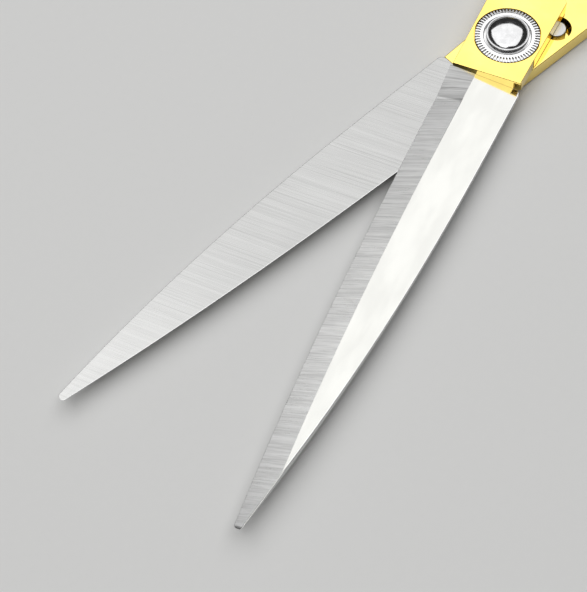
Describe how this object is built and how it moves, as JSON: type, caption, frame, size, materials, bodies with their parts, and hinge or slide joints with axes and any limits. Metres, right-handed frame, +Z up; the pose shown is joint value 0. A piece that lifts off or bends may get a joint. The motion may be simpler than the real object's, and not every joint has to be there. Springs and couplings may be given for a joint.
{
  "type": "hair cutting shears",
  "caption": "Long hair shears with two knife-edged steel blades, gilt ring handles, a serrated tension dial with a domed cap, soft ring inserts, a stop bumper and a finger rest.",
  "frame": {"origin": "on the pivot axis, at the flat underside of the pivot bolt's head, which is level with the underside of the rings", "axes": "+Z up along the pivot axis, out through the tension dial; +X halves the angle between the open blades and points to the tips; +Y to the front blade's side"},
  "size_m": [0.1923, 0.0925, 0.0071],
  "materials": {
    "blade_steel": "fine cross-ground satin bevel with a polished back facet",
    "gilt": "mirror-polished gold-coloured plating on a cast handle",
    "bolt_steel": "fine turned steel",
    "dial_satin": "satin silver with a serrated edge",
    "dome_chrome": "polished",
    "button_steel": "ground grey steel",
    "spring_steel": "blued spring steel",
    "bush_bronze": "plain sintered bronze",
    "glide_plastic": "waxy white low-friction plastic",
    "thrust_plastic": "filled low-friction plastic",
    "soft_rubber": "matte moulded rubber"
  },
  "bodies": {
    "rear_half": {"rear_blade": "blade_steel", "rear_handle": "gilt", "pivot_bolt": "bolt_steel", "thrust_washer": "thrust_plastic", "spring_washer": "spring_steel", "click_washer": "spring_steel", "cap_screw": "dome_chrome", "ride_button": "button_steel", "finger_insert": "soft_rubber", "finger_rest": "gilt", "rest_washer": "soft_rubber"},
    "front_half": {"front_blade": "blade_steel", "front_handle": "gilt", "pivot_bush": "bush_bronze", "glide_washer": "glide_plastic", "thumb_insert": "soft_rubber", "stop_bumper": "soft_rubber"},
    "dial": {"tension_dial": "dial_satin"}
  },
  "joints": [
    {"name": "blade_pivot", "type": "hinge", "parent": "rear_half", "child": "front_half", "pos_m": [0, 0, 0.003], "axis": [0, 0, 1], "range_deg": [-21, 49]},
    {"name": "dial_turn", "type": "hinge", "parent": "rear_half", "child": "dial", "pos_m": [0, 0, 0.005], "axis": [0, 0, 1], "range_deg": [-90, 90]}
  ]
}
